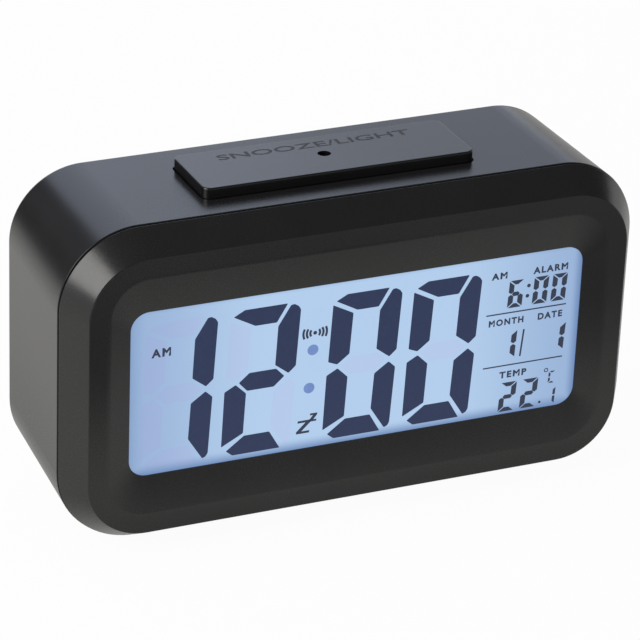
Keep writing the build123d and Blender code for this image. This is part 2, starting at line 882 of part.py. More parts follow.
def cell_way(index):
    """The way that one cell's positive end points: 1 to the right, -1 to the left."""
    return 1 if index % 2 == 0 else -1


def cell(index):
    """One cell: its can, and the nub that meets the contact's bump."""
    way = cell_way(index)
    z = cell_height(index)
    nub_end = way * (bay_length / 2 - plate_thickness - bump_height - plate_clearance / 2)
    shoulder = nub_end - way * cell_nub_length
    can_end = nub_end - way * cell_length
    can = prism_x(Circle(cell_diameter / 2), cell_y, z, can_end, shoulder)
    can = fillet(can.edges().filter_by(GeomType.CIRCLE), cell_edge_radius)
    return can + prism_x(Circle(cell_nub_radius), cell_y, z, shoulder, nub_end)


def contact_plate(side, indexes, bump_index, tab_index):
    """A contact plate at one end of the bay, over one or two cells, with its bump and tab."""
    x = side * bay_length / 2
    inner_x = x - side * plate_thickness
    low = cell_height(indexes[0]) - plate_width / 2
    high = cell_height(indexes[-1]) + plate_width / 2
    near = floor_y + plate_clearance
    far = cell_y + plate_width / 2
    plate = prism_x(Rectangle(far - near, high - low), (near + far) / 2, (low + high) / 2, x, inner_x)
    if bump_index is not None:
        z = cell_height(bump_index)
        foot = Plane((inner_x, cell_y, z), z_dir=(-side, 0, 0)) * Circle(bump_radius)
        tip = Plane((inner_x - side * bump_height, cell_y, z), z_dir=(-side, 0, 0))
        plate += loft([foot, tip * Circle(bump_tip_radius)], ruled=True)
    if tab_index is not None:
        tab_front = floor_y - bay_wall - tab_reach
        tab = Rectangle(plate_thickness, tab_width)
        plate += prism_y(tab, (x + inner_x) / 2, cell_height(tab_index), tab_front, near)
    return plate


def tab_places():
    """Where the two outer contacts' tabs pass through the bay's floor."""
    x = (bay_length - plate_thickness) / 2
    return [(-x, cell_height(0)), (x, cell_height(cell_count - 1))]


def spring_path(index):
    """The route of a conical wire spring, in tangent half turns from its plate to the cell."""
    way = cell_way(index)
    z = cell_height(index)
    start_x = -way * (bay_length / 2 - plate_thickness - spring_clearance - spring_wire_radius)
    rise = spring_length - 2 * (spring_clearance + spring_wire_radius)
    points = []
    for i in range(spring_half_turns + 1):
        share = i / spring_half_turns
        radius = spring_base_radius + (spring_tip_radius - spring_base_radius) * share
        side = 1 if i % 2 == 0 else -1
        points.append(Vector(start_x + way * rise * share, cell_y, z + side * radius))
    arcs = []
    for i in range(spring_half_turns):
        bulge = (points[i + 1] - points[i]).length / 2
        side = 1 if i % 2 == 0 else -1
        middle = (points[i] + points[i + 1]) / 2 + Vector(0, side * bulge, 0)
        arcs.append(ThreePointArc(points[i], middle, points[i + 1]))
    return Wire(arcs)


def battery_spring(index):
    """A conical wire spring between a contact plate and a cell's flat end."""
    path = spring_path(index)
    profile = Plane(path @ 0, z_dir=path % 0) * Circle(spring_wire_radius)
    return sweep(profile, path=path)


def spring_gap():
    """The least gap between one spring's own turns, measured on points along its route."""
    path = spring_path(0)
    count = spring_points_per_half_turn * spring_half_turns
    points = [path @ (i / count) for i in range(count + 1)]
    gaps = []
    for i, point in enumerate(points):
        for other in points[i + spring_points_per_half_turn:]:
            gaps.append((other - point).length - 2 * spring_wire_radius)
    return min(gaps)


def battery_door():
    """The door: a plate that turns on its round lower edge, two tabs and a springy latch tongue."""
    outline = RectangleRounded(door_length, door_height, door_radius)
    door = prism_y(outline, 0, bay_z, door_inner_y, back_y)
    corners = Rectangle(door_thickness, hinge_radius, align=(Align.CENTER, Align.MAX))
    corners -= Circle(hinge_radius)
    door -= prism_x(corners, hinge_y, hinge_z, -door_length / 2, door_length / 2)
    tab_z = door_bottom + (door_tab_root - door_tab_reach) / 2
    for x in (-door_tab_spacing / 2, door_tab_spacing / 2):
        tab = Rectangle(door_tab_width, door_tab_root + door_tab_reach)
        door += prism_y(tab, x, tab_z, door_inner_y - door_tab_thickness, door_inner_y)
    for x in (-latch_width / 2, latch_width / 2):
        slit = Rectangle(latch_slit, 2 * latch_length)
        door -= prism_y(slit, x, door_top, door_inner_y - overrun, back_y + overrun)
    for i in range(grip_count):
        z = door_top - (i + 1) * grip_pitch
        grip = Rectangle(latch_width - 2 * latch_slit, grip_width)
        door -= prism_y(grip, 0, z, back_y - grip_depth, back_y + overrun)
    return door


# Leads and ribbons

def path_through(points):
    """A route of straight runs, with each bend as wide as its runs allow."""
    radii = []
    for i in range(1, len(points) - 1):
        before = Vector(points[i]) - Vector(points[i - 1])
        after = Vector(points[i + 1]) - Vector(points[i])
        half_turn = radians(before.get_angle(after)) / 2
        radii.append(bend_share * min(before.length, after.length) / tan(half_turn))
    print("bend radii", [round(radius, 1) for radius in radii])
    return FilletPolyline(*points, radius=radii)


def lead(points, radius):
    """A round wire along a route."""
    path = path_through(points)
    start = Plane(path @ 0, z_dir=path % 0)
    return sweep(start * Circle(radius), path=path)


def ribbon(points):
    """A flat ribbon of wires along a route in Y and Z."""
    path = path_through(points)
    start = Plane(path @ 0, x_dir=(1, 0, 0), z_dir=path % 0)
    return sweep(start * Rectangle(ribbon_width, ribbon_thickness), path=path)


def battery_lead(place, end_x, end_rise):
    """A lead from a contact's tab forward to the main board."""
    x, z = place
    start_y = floor_y - bay_wall - tab_reach
    end_z = middle_z + end_rise
    points = [
        (x, start_y, z),
        (x, start_y - lead_run, z),
        (end_x, board_back_y + lead_run, end_z),
        (end_x, board_back_y, end_z),
    ]
    return lead(points, lead_radius)


def buzzer_leads():
    """Two thin leads, from the ceramic and from the disc's rim to the main board."""
    disc_y = inner_back_y - buzzer_ring_height - buzzer_thickness
    spread = (buzzer_radius + ceramic_radius) / 2
    starts = [(buzzer_x, disc_y - ceramic_thickness, bay_z), (buzzer_x, disc_y, bay_z + spread)]
    leads = []
    for index, (x, y, z) in enumerate(starts):
        end_z = middle_z + buzzer_lead_rise + index * spread
        points = [
            (x, y, z),
            (x, y - buzzer_lead_run, z),
            (x, board_back_y + buzzer_lead_run, end_z),
            (x, board_back_y, end_z),
        ]
        leads.append(lead(points, buzzer_lead_radius))
    return group(leads)


def key_ribbon():
    """The ribbon from the key board to the main board, sagging between them."""
    z = key_z - ribbon_drop
    middle_y = (key_board_y + board_back_y) / 2
    points = [
        (0, key_board_y, z),
        (0, key_board_y - ribbon_run, z),
        (0, middle_y, z - ribbon_sag),
        (0, board_back_y + ribbon_run, z),
        (0, board_back_y, z),
    ]
    return ribbon(points)


def top_ribbon():
    """The ribbon from the board under the button, down and forward to the main board."""
    start = top_plane(top_ribbon_x, 0, top_board_z - board_thickness).position
    end_z = start.Z - top_ribbon_drop
    points = [
        (start.X, start.Y, start.Z - slope * ribbon_thickness / 2),
        (start.X, start.Y, end_z),
        (start.X, board_back_y, end_z),
    ]
    return ribbon(points)


# Feet

def foot(x, y, body):
    """A round rubber foot, trimmed to the sloping bottom that it is stuck to."""
    rising = (Align.CENTER, Align.CENTER, Align.MIN)
    reach = ground_gap + slope * body_depth + foot_radius / 2
    pad = Pos(x, y, 0) * Cylinder(foot_radius, reach, align=rising)
    pad = fillet(pad.faces().sort_by(Axis.Z)[0].edges(), foot_edge_radius)
    return pad - body


def feet():
    """Two feet near the front edge and two near the back."""
    body = loft([housing_section(edge_y, 0), housing_section(back_y, 0)], ruled=True)
    front = front_y + foot_front_setback
    rear = back_y - foot_rear_setback
    return {
        "foot_front_left": foot(-foot_x, front, body),
        "foot_front_right": foot(foot_x, front, body),
        "foot_rear_left": foot(-foot_x, rear, body),
        "foot_rear_right": foot(foot_x, rear, body),
    }


# The whole clock, one node for each piece

nodes = {
    "front_frame": front_frame(),
    "rear_housing": rear_housing(),
    **display_layers(),
    "backlight_leds": backlight_leds(),
    "lcd_holder": lcd_holder(),
    "zebra_strip": zebra_strip(),
    "main_board": main_board(),
    "main_board_screws": back_screws(main_post_places(), board_back_y, *small_screw),
    "chip_blob": chip_blob(),
    "crystal": crystal(),
    "capacitors": capacitors(),
    "thermistor": thermistor(),
    "snooze_button": snooze_button(),
    "snooze_switches": snooze_switches(),
    "snooze_plungers": snooze_plungers(),
    "light_sensor": light_sensor(),
    "top_board": top_board(),
    "top_board_screws": top_board_screws(),
    "key_switches": key_switches(),
    "key_board": key_board(),
    "key_board_screws": key_board_screws(),
    "slide_switch_case": slide_switch_case(),
    "slide_switch_knob": slide_switch_knob(),
    "buzzer_disc": buzzer_disc(),
    "buzzer_ceramic": buzzer_ceramic(),
    "contact_negative": contact_plate(-1, [0], None, 0),
    "contact_positive": contact_plate(1, [2], 2, 2),
    "contact_link_left": contact_plate(-1, [1, 2], 1, None),
    "contact_link_right": contact_plate(1, [0, 1], 0, None),
    "battery_springs": group([battery_spring(index) for index in range(cell_count)]),
    "battery_door": battery_door(),
    "battery_lead_red": battery_lead(tab_places()[1], red_lead_x, red_lead_rise),
    "battery_lead_black": battery_lead(tab_places()[0], black_lead_x, black_lead_rise),
    "buzzer_leads": buzzer_leads(),
    "key_ribbon": key_ribbon(),
    "top_ribbon": top_ribbon(),
    "case_screws": back_screws(boss_places(), boss_end_y + tube_web, *case_screw),
    **feet(),
}
for name, x in zip(("mode", "set", "up", "down"), key_places):
    nodes[f"{name}_key"] = setting_key(x)
    nodes[f"{name}_plunger"] = facing_back(x, key_switch_y) * push_plunger()
for index in range(cell_count):
    nodes[f"battery_{index + 1}"] = cell(index)

print("least gap between a spring's turns", round(spring_gap(), 2))
os.makedirs("parts", exist_ok=True)
for name, shape in nodes.items():
    export_step(shape, f"parts/{name}.step")
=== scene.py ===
import math

import bpy
import numpy as np
from mathutils import Matrix, Vector


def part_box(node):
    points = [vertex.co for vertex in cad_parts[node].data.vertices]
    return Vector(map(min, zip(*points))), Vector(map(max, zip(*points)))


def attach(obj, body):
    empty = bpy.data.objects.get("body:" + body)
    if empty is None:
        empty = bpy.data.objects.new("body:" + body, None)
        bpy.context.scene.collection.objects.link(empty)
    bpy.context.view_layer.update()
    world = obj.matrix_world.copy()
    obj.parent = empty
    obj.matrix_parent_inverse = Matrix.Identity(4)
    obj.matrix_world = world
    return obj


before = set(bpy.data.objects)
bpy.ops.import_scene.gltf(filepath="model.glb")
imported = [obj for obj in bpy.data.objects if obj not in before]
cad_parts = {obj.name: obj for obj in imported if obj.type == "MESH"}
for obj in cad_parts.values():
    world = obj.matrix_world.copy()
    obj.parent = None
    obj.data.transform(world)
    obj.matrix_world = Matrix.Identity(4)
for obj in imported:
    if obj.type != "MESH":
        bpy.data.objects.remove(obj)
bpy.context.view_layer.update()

# The view: a long lens a little above the clock and to its left, rolled by a couple of degrees.
# It was found by fitting the body's outline, the window and the button to the photograph.
mm = 0.001
view_azimuth = math.radians(-23.893)
view_elevation = math.radians(27.025)
view_roll = math.radians(2.367)
view_distance = 786.023 * mm
view_aim = Vector((-7.113, -15.022, 46.415)) * mm
lens_length = 203.15
sensor_width = 36.0
nearest_seen = 10 * mm

bpy.ops.object.select_all(action="DESELECT")
bpy.ops.object.camera_add()
camera = bpy.context.object
camera.data.lens = lens_length
camera.data.sensor_width = sensor_width
camera.data.clip_start = nearest_seen
towards_camera = Vector((
    math.sin(view_azimuth) * math.cos(view_elevation),
    -math.cos(view_azimuth) * math.cos(view_elevation),
    math.sin(view_elevation),
))
level_right = Vector((0, 0, 1)).cross(towards_camera).normalized()
level_up = towards_camera.cross(level_right)
rolled_right = math.cos(view_roll) * level_right + math.sin(view_roll) * level_up
rolled_up = math.cos(view_roll) * level_up - math.sin(view_roll) * level_right
turn = Matrix((rolled_right, rolled_up, towards_camera)).transposed().to_4x4()
camera.matrix_world = Matrix.Translation(view_aim + view_distance * towards_camera) @ turn
bpy.context.scene.camera = camera
bpy.context.scene.view_settings.view_transform = "Standard"


# The front frame: one moulding of black ABS, with a chamfer all round, a flat band and a sloped dish
# down to the display's window. It plugs into the housing by a lip, and the case screws pull it in.
class Field:
    """A value that varies over a surface. Arithmetic on fields adds Math nodes to their finish."""

    def __init__(self, finish, socket):
        self.finish = finish
        self.socket = socket

    def maths(self, operation, first, second=0.0):
        return self.finish.node("ShaderNodeMath", {"operation": operation}, {0: first, 1: second})

    def __add__(self, other):
        return self.maths("ADD", self, other)

    def __radd__(self, other):
        return self.maths("ADD", other, self)

    def __sub__(self, other):
        return self.maths("SUBTRACT", self, other)

    def __rsub__(self, other):
        return self.maths("SUBTRACT", other, self)

    def __mul__(self, other):
        return self.maths("MULTIPLY", self, other)

    def __rmul__(self, other):
        return self.maths("MULTIPLY", other, self)

    def __truediv__(self, other):
        return self.maths("DIVIDE", self, other)

    def __mod__(self, other):
        return self.maths("FLOORED_MODULO", self, other)

    def __gt__(self, other):
        return self.maths("GREATER_THAN", self, other)

    def __lt__(self, other):
        return self.maths("LESS_THAN", self, other)

    def __abs__(self):
        return self.maths("ABSOLUTE", self)

    def least(self, other):
        """The lower of two values."""
        return self.maths("MINIMUM", self, other)

    def ramp(self, low, high):
        """A smooth step from 0 at low to 1 at high."""
        return self.finish.node(
            "ShaderNodeMapRange", {"interpolation_type": "SMOOTHSTEP"},
            {"Value": self, "From Min": low, "From Max": high},
        )

    def between(self, low, high):
        """A value that goes from low to high as this one goes from 0 to 1."""
        return low + (high - low) * self


class Finish:
    """The node tree of one material or world, and a method that adds any node to it."""

    def __init__(self, owner):
        self.owner = owner
        owner.use_nodes = True
        self.tree = owner.node_tree

    def node(self, kind, settings=None, inputs=None, output=0):
        """Adds a node, makes its settings, feeds its sockets and gives one of its outputs."""
        node = self.tree.nodes.new(kind)
        for name, value in (settings or {}).items():
            setattr(node, name, value)
        for name, value in (inputs or {}).items():
            self.feed(node.inputs[name], value)
        return Field(self, node.outputs[output]) if node.outputs else None

    def feed(self, socket, value):
        """Links a field to a socket, or sets a plain value on it."""
        if isinstance(value, Field):
            self.tree.links.new(value.socket, socket)
        else:
            socket.default_value = value

    def put(self, inputs):
        """Sets or links the shader's own sockets."""
        shader = self.tree.nodes["Principled BSDF"]
        for name, value in inputs.items():
            self.feed(shader.inputs[name], value)

    def place(self):
        """Where a point of the piece lies at rest, in metres."""
        return self.node("ShaderNodeTexCoord", output="Object")

    def along(self, place, axis):
        """One of a place's three coordinates."""
        return self.node("ShaderNodeSeparateXYZ", inputs={"Vector": place}, output=axis)

    def noise(self, place, scale, detail=2.0):
        """A cloudy value round one half."""
        inputs = {"Vector": place, "Scale": scale, "Detail": detail}
        return self.node("ShaderNodeTexNoise", inputs=inputs)

    def mix(self, share, first, second):
        """A colour between two others."""
        colours = {0: share, 6: first, 7: second}
        return self.node("ShaderNodeMix", {"data_type": "RGBA"}, colours, output=2)

    def tones(self, share, colour, low, high):
        """One colour, from a low to a high level of its brightness."""
        return self.mix(share, shade(colour, low), shade(colour, high))

    def relief(self, height, depth):
        """A normal that follows a height, with its depth in millimetres."""
        return self.node("ShaderNodeBump", inputs={"Height": height, "Distance": depth * mm})


def new_finish(name):
    """A new material's finish."""
    return Finish(bpy.data.materials.new(name))


def shade(colour, level=1.0):
    """A colour at some share of its brightness, with its opaque fourth value."""
    return (*(level * value for value in colour), 1.0)


def moulded_plastic(name, colour, roughness, texture_depth, specular):
    """Moulded plastic: an even fine texture from the tool, and slow drifts of tone and gloss."""
    texture_gloss = 0.10
    drift_gloss = 0.06
    finish = new_finish(name)
    place = finish.place()
    texture = finish.noise(place, scale=3000.0)
    drift = finish.noise(place, scale=40.0, detail=3.0)
    texture_change = texture.between(-texture_gloss / 2, texture_gloss / 2)
    drift_change = drift.between(-drift_gloss / 2, drift_gloss / 2)
    finish.put({
        "Base Color": finish.tones(drift, colour, low=0.75, high=1.25),
        "Roughness": roughness + texture_change + drift_change,
        "Normal": finish.relief(texture, texture_depth),
        "Specular IOR Level": specular,
    })
    return finish


def dress(finish, *names):
    """Gives CAD nodes a finish in place of the plain one that they came with."""
    for name in names:
        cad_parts[name].material_slots[0].material = finish.owner


frame_plastic = moulded_plastic(
    "frame_plastic", colour=(0.013, 0.013, 0.013), roughness=0.26, texture_depth=0.003, specular=0.45,
)
dress(frame_plastic, "front_frame")

# The display: a polarising film over glass, lit evenly from behind, so that it glows pale blue in the
# middle and deeper blue towards its edges. It lies behind the frame's window.
window_width = 106.5
window_height = 39.6
window_middle = 38.3
pale_reach = 20.0
dim_reach = 54.0
left_rim = (-4.0, 4.0)
right_rim = (-0.25, 2.4)
top_rim = (-1.5, 1.0)
bottom_rim = (-0.6, 3.0)
film_tint = 0.1
film_strength = 0.92
film_specular = 0.25
film_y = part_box("lcd_front_polariser")[0].y / mm


def lit_film(name, middle_colour, end_colour, edge_colour):
    """A film with light behind it: palest in the middle, dimmer at its ends, deep blue at its rim."""
    finish = new_finish(name)
    place = finish.place()
    sideways = finish.along(place, "X") / mm
    upright = finish.along(place, "Z") / mm - window_middle
    from_left = (sideways + window_width / 2).ramp(*left_rim)
    from_right = (window_width / 2 - sideways).ramp(*right_rim)
    from_top = (window_height / 2 - upright).ramp(*top_rim)
    from_bottom = (upright + window_height / 2).ramp(*bottom_rim)
    inside = from_left.least(from_right).least(from_top).least(from_bottom)
    cloud = finish.noise(place, scale=30.0)
    pale = abs(sideways).ramp(dim_reach, pale_reach) * cloud.between(0.90, 1.00)
    glow = finish.mix(pale, shade(end_colour), shade(middle_colour))
    rim_tint = shade(edge_colour, film_tint)
    middle_tint = shade(middle_colour, film_tint)
    finish.put({
        "Base Color": finish.mix(inside, rim_tint, middle_tint),
        "Emission Color": finish.mix(inside, shade(edge_colour), glow),
        "Emission Strength": film_strength,
        "Roughness": finish.noise(place, scale=4000.0).between(0.45, 0.55),
        "Specular IOR Level": film_specular,
    })
    return finish


lit_display = lit_film(
    "lit_display",
    middle_colour=(0.46, 0.63, 0.86), end_colour=(0.315, 0.45, 0.69), edge_colour=(0.165, 0.27, 0.50),
)
dress(lit_display, "lcd_front_polariser")

# The figures: liquid crystal segments between the display's glasses, dark blue where they are driven
# and a faint lilac where they rest. Each figure leans a little and shows seven segments at most.
picture_x = -0.09
picture_z = window_middle + 0.09
figure_lean = 0.055
figure_skin = 0.02
figure_corner = 0.22
corner_steps = 3
least_edge = 0.002
master_half_width = 8.2
master_upright = 5.05
master_top = 17.29
master_bottom = -17.86
master_cross = 4.3
master_waist = (-2.1, 1.8)
segments = {
    "a": [(-7.5, 15.9), (-5.0, 17.3), (4.9, 17.3), (2.7, 13.1), (-2.3, 13.1)],
    "b": [
        (5.7, 16.8), (6.5, 16.9), (7.5, 16.3), (8.1, 15.4),
        (8.1, 1.8), (6.5, 0.4), (3.2, 2.7), (3.1, 12.1),
    ],
    "c": [
        (6.5, -0.7), (8.2, -2.1), (8.2, -16.1), (7.8, -16.9),
        (7.0, -17.3), (3.3, -11.9), (3.3, -3.0),
    ],
    "d": [(-6.7, -16.6), (-2.7, -13.4), (3.2, -13.4), (6.0, -17.9), (-5.1, -17.9)],
    "e": [(-5.7, -0.4), (-3.1, -2.7), (-3.0, -12.7), (-7.9, -15.4), (-8.2, -1.7)],
    "f": [(-8.2, 15.1), (-3.2, 12.5), (-3.2, 2.6), (-5.9, 0.5), (-8.1, 1.3)],
    "g": [(-5.0, -0.1), (-2.7, 1.8), (3.5, 1.8), (5.6, -0.1), (3.3, -2.1), (-2.9, -2.1)],
}
figures = {"0": "abcdef", "1": "bc", "2": "abged", "6": "acdefg", "C": "adef"}
to_front = Vector((0, -1, 0))


def plate(points):
    """A flat outline on the display: a disc with that many corners, each moved to its place."""
    bpy.ops.object.select_all(action="DESELECT")
    bpy.ops.mesh.primitive_circle_add(vertices=len(points), fill_type="NGON")
    disc = bpy.context.object
    for corner, (x, z) in zip(disc.data.vertices, points):
        corner.co = Vector((picture_x + x, film_y, picture_z + z)) * mm
    return disc


def figure(letters, x, z, width, height, stroke):
    """The plates of some segments of a figure, with its middle, size and stroke on the display."""
    master_inner = master_half_width - master_upright
    wide_from = [-master_half_width, -master_inner, master_inner, master_half_width]
    over_bottom = master_bottom + master_cross
    under_top = master_top - master_cross
    tall_from = [master_bottom, over_bottom, *master_waist, under_top, master_top]
    side = width / 2
    top = height / 2
    cross = stroke * master_cross / master_upright
    wide_to = [-side, stroke - side, side - stroke, side]
    tall_to = [-top, cross - top, -cross / 2, cross / 2, top - cross, top]
    plates = []
    for letter in letters:
        outline = []
        for u, v in segments[letter]:
            rise = np.interp(v, tall_from, tall_to)
            shift = np.interp(u, wide_from, wide_to)
            outline.append((x + shift + figure_lean * rise, z + rise))
        plates.append(plate(outline))
    return plates


def thin_piece(name, plates, corner, skin, direction):
    """Flat plates joined as one piece, with softened corners and a thin skin's thickness."""
    bpy.ops.object.select_all(action="DESELECT")
    for flat in plates:
        flat.select_set(True)
    bpy.context.view_layer.objects.active = plates[0]
    bpy.ops.object.join()
    piece = bpy.context.object
    piece.name = name
    bpy.ops.object.mode_set(mode="EDIT")
    bpy.ops.mesh.select_all(action="SELECT")
    bpy.ops.mesh.dissolve_degenerate(threshold=least_edge * mm)
    if corner:
        bpy.ops.mesh.bevel(affect="VERTICES", offset=corner * mm, segments=corner_steps)
    bpy.ops.object.mode_set(mode="OBJECT")
    for face in piece.data.polygons:
        if direction.dot(face.normal) < 0:
            face.flip()
    bpy.ops.object.modifier_add(type="SOLIDIFY")
    piece.modifiers[-1].thickness = skin * mm
    piece.modifiers[-1].offset = 1.0
    bpy.ops.object.modifier_apply(modifier=piece.modifiers[-1].name)
    bpy.ops.object.transform_apply()
    bpy.ops.object.shade_flat()
    return piece


def settle(piece, finish, body):
    """Dresses a new piece and ties it to the body that carries it."""
    piece.data.materials.clear()
    piece.data.materials.append(finish.owner)
    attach(piece, body)


def on_display(name, plates, finish, corner=0.0, skin=figure_skin):
    """Makes some plates one thin piece on the display's film."""
    settle(thin_piece(name, plates, corner, skin, to_front), finish, "case")


def driven_crystal(name, colour):
    """Liquid crystal that holds most of the light back, with a fine mottle."""
    finish = new_finish(name)
    mottle = finish.noise(finish.place(), scale=900.0)
    finish.put({
        "Base Color": finish.tones(mottle, colour, low=0.25, high=0.35),
        "Emission Color": finish.tones(mottle, colour, low=0.9, high=1.1),
        "Emission Strength": 0.7,
        "Roughness": mottle.between(0.45, 0.55),
        "Specular IOR Level": film_specular,
    })
    return finish


big_figures = [("1", -42.2), ("2", -23.06), ("0", 0.8), ("0", 19.94)]
big_rise = -1.1
big_size = (2 * master_half_width, master_top - master_bottom, master_upright)
driven_plates = []
resting_plates = []
for sign, x in big_figures:
    at_rest = sorted(set(segments) - set(figures[sign]))
    driven_plates += figure(figures[sign], x, big_rise, *big_size)
    resting_plates += figure(at_rest, x, big_rise, *big_size)
dark_blue = driven_crystal("driven_segments", (0.030, 0.044, 0.105))
on_display("time_figures", driven_plates, dark_blue, corner=figure_corner)
faint_lilac = lit_film(
    "resting_segments",
    middle_colour=(0.475, 0.60, 0.85), end_colour=(0.325, 0.43, 0.69), edge_colour=(0.17, 0.26, 0.50),
)
on_display("resting_figures", resting_plates, faint_lilac, corner=figure_corner)

# The colon's dots: two round spots of liquid crystal between hours and minutes, made as the figures
# are. They are driven less, so they stay a paler blue.
dot_corners = 32
colon_radius = 1.29
colon_places = [(-10.94, 4.19), (-11.51, -5.09)]


def arc(x, z, radius, turns):
    """Points on a circle at some angles."""
    return [(x + radius * math.cos(turn), z + radius * math.sin(turn)) for turn in turns]


def dot(x, z, radius):
    """A round plate."""
    return plate(arc(x, z, radius, [2 * math.pi * i / dot_corners for i in range(dot_corners)]))


colon_blue = driven_crystal("colon_crystal", (0.19, 0.30, 0.62))
on_display("colon_dots", [dot(x, z, colon_radius) for x, z in colon_places], colon_blue)

# The small figures and rules at the right: alarm time, month and date, and temperature. They are
# liquid crystal as well, with narrow slanting gaps between segments and thin rules between the rows.
# A size is a width, a height and a stroke, and a figure has its sign, its middle and its size.
small_corner = 0.04
small_gap = 0.19
small_cross_share = 0.82
alarm_size = (3.58, 6.67, 1.25)
date_size = (4.2, 6.9, 1.3)
degrees_size = (4.0, 7.29, 1.25)
tenths_size = (2.6, 4.3, 0.62)
scale_size = (1.7, 3.0, 0.48)
small_figures = [
    ("6", 37.36, 10.03, alarm_size),
    ("0", 43.43, 10.03, alarm_size),
    ("0", 48.0, 10.03, alarm_size),
    ("1", 36.1, -2.41, date_size),
    ("1", 48.1, -2.41, date_size),
    ("2", 36.97, -15.64, degrees_size),
    ("2", 42.29, -15.64, degrees_size),
    ("1", 47.6, -17.24, tenths_size),
    ("C", 47.8, -12.48, scale_size),
]
small_dot_radius = 0.45
small_colon_places = [(40.48, 11.56), (40.27, 9.06)]
point_radius = 0.32
point_x = 45.14
point_z = -18.45
rule_left = 30.45
rule_right = 50.06
rule_half = 0.16
rule_heights = (5.55, -7.59)
slash_left = 39.20
slash_width = 0.42
slash_lean = 0.58
slash_low = -5.81
slash_high = 0.84


def mitred_figure(letters, x, z, width, height, stroke):
    """The plates of some segments of a small figure, which meet in narrow slanting gaps."""
    side = width / 2
    top = height / 2
    cross = small_cross_share * stroke
    waist = cross / 2
    inner = side - stroke
    under = top - cross
    middle = side - stroke / 2
    outlines = {
        "a": [
            (-side + small_gap, top), (side - small_gap, top),
            (inner - small_gap, under), (-inner + small_gap, under),
        ],
        "b": [
            (side, top - small_gap), (side, waist), (middle, small_gap / 2),
            (inner, waist), (inner, under - small_gap),
        ],
        "g": [
            (-middle + small_gap, 0), (-inner, waist), (inner, waist),
            (middle - small_gap, 0), (inner, -waist), (-inner, -waist),
        ],
    }
    outlines["c"] = [(u, -v) for u, v in outlines["b"]]
    outlines["d"] = [(u, -v) for u, v in outlines["a"]]
    outlines["e"] = [(-u, -v) for u, v in outlines["b"]]
    outlines["f"] = [(-u, v) for u, v in outlines["b"]]
    plates = []
    for letter in letters:
        plates.append(plate([(x + u + figure_lean * v, z + v) for u, v in outlines[letter]]))
    return plates


small_plates = []
for sign, x, z, size in small_figures:
    small_plates += mitred_figure(figures[sign], x, z, *size)
small_plates += [dot(x, z, small_dot_radius) for x, z in small_colon_places]
small_plates.append(dot(point_x, point_z, point_radius))
for z in rule_heights:
    small_plates.append(plate([
        (rule_left, z - rule_half), (rule_right, z - rule_half),
        (rule_right, z + rule_half), (rule_left, z + rule_half),
    ]))
small_plates.append(plate([
    (slash_left, slash_low), (slash_left + slash_width, slash_low),
    (slash_left + slash_lean + slash_width, slash_high), (slash_left + slash_lean, slash_high),
]))
small_blue = driven_crystal("small_crystal", (0.038, 0.050, 0.085))
on_display("small_figures", small_plates, small_blue, corner=small_corner)

# The words on the display: plain letters of driven liquid crystal that name the rows. They are cut as
# flat outlines, made a little bolder and stretched to their places.
letter_weight = 0.042
letter_spacing = 1.28
letter_jog = 0.006
letter_steps = 4
word_skin = 0.03
word_places = [
    ("AM", -48.29, -43.86, 8.38, 10.46),
    ("AM", 31.20, 35.00, 14.19, 15.84),
    ("ALARM", 41.37, 49.86, 14.19, 15.84),
    ("MONTH", 31.20, 39.70, 2.60, 4.24),
    ("DATE", 43.23, 49.24, 2.58, 4.22),
    ("TEMP", 34.64, 41.32, -10.77, -9.12),
]


def word(text, weight, spacing=1.0):
    """Some letters as a flat mesh of unit size, and the shape that they had, as width over height.
    Their outlines are freed of tiny jogs first, so that they can be made bolder."""
    bpy.ops.object.select_all(action="DESELECT")
    bpy.ops.object.text_add()
    letters = bpy.context.object
    letters.data.body = text
    letters.data.resolution_u = letter_steps
    letters.data.space_character = spacing
    bpy.ops.object.convert(target="CURVE")
    outlines = bpy.context.object.data
    bpy.ops.object.mode_set(mode="EDIT")
    bpy.ops.curve.select_all(action="DESELECT")
    for outline in outlines.splines:
        points = outline.bezier_points
        for point, before in zip(points, [points[-1], *points]):
            point.select_control_point = (point.co - before.co).length < letter_jog
    bpy.ops.curve.dissolve_verts()
    bpy.ops.object.mode_set(mode="OBJECT")
    outlines.offset = weight
    bpy.ops.object.convert(target="MESH")
    letters = bpy.context.object
    corners = np.array([tuple(vertex.co) for vertex in letters.data.vertices])
    low = corners.min(0)
    high = corners.max(0)
    width, height, _ = high - low
    letters.data.transform(Matrix.Translation((-low[0], -low[1], 0)))
    letters.data.transform(Matrix.Diagonal((1 / width, 1 / height, 1, 1)))
    return letters, width / height


def lay(letters, corner, run, rise):
    """Puts a word of unit size where its corner, its run and its rise say, in millimetres."""
    out = run.cross(rise).normalized()
    letters.data.transform(Matrix((run * mm, rise * mm, out)).transposed().to_4x4())
    letters.data.transform(Matrix.Translation(corner * mm))
    return letters


def display_word(text, left, right, low, high):
    """A word on the display between two sides and two heights."""
    letters, _ = word(text, letter_weight, letter_spacing)
    corner = Vector((picture_x + left, film_y, picture_z + low))
    return lay(letters, corner, run=Vector((right - left, 0, 0)), rise=Vector((0, 0, high - low)))


display_words = [display_word(*place) for place in word_places]
on_display("display_words", display_words, small_blue, skin=word_skin)

# The signs on the display: sound waves for the alarm, two letters Z for the snooze and a degree sign.
# They are driven liquid crystal, cut as flat arcs and bars.
arc_steps = 10
wave_x = -10.57
wave_z = 8.30
wave_width = 0.52
wave_rings = [(1.15, 40), (1.95, 34), (2.75, 26)]
degree_x = 46.28
degree_z = -10.55
degree_radius = 0.42
degree_width = 0.22
zed_lean = 2 * figure_lean


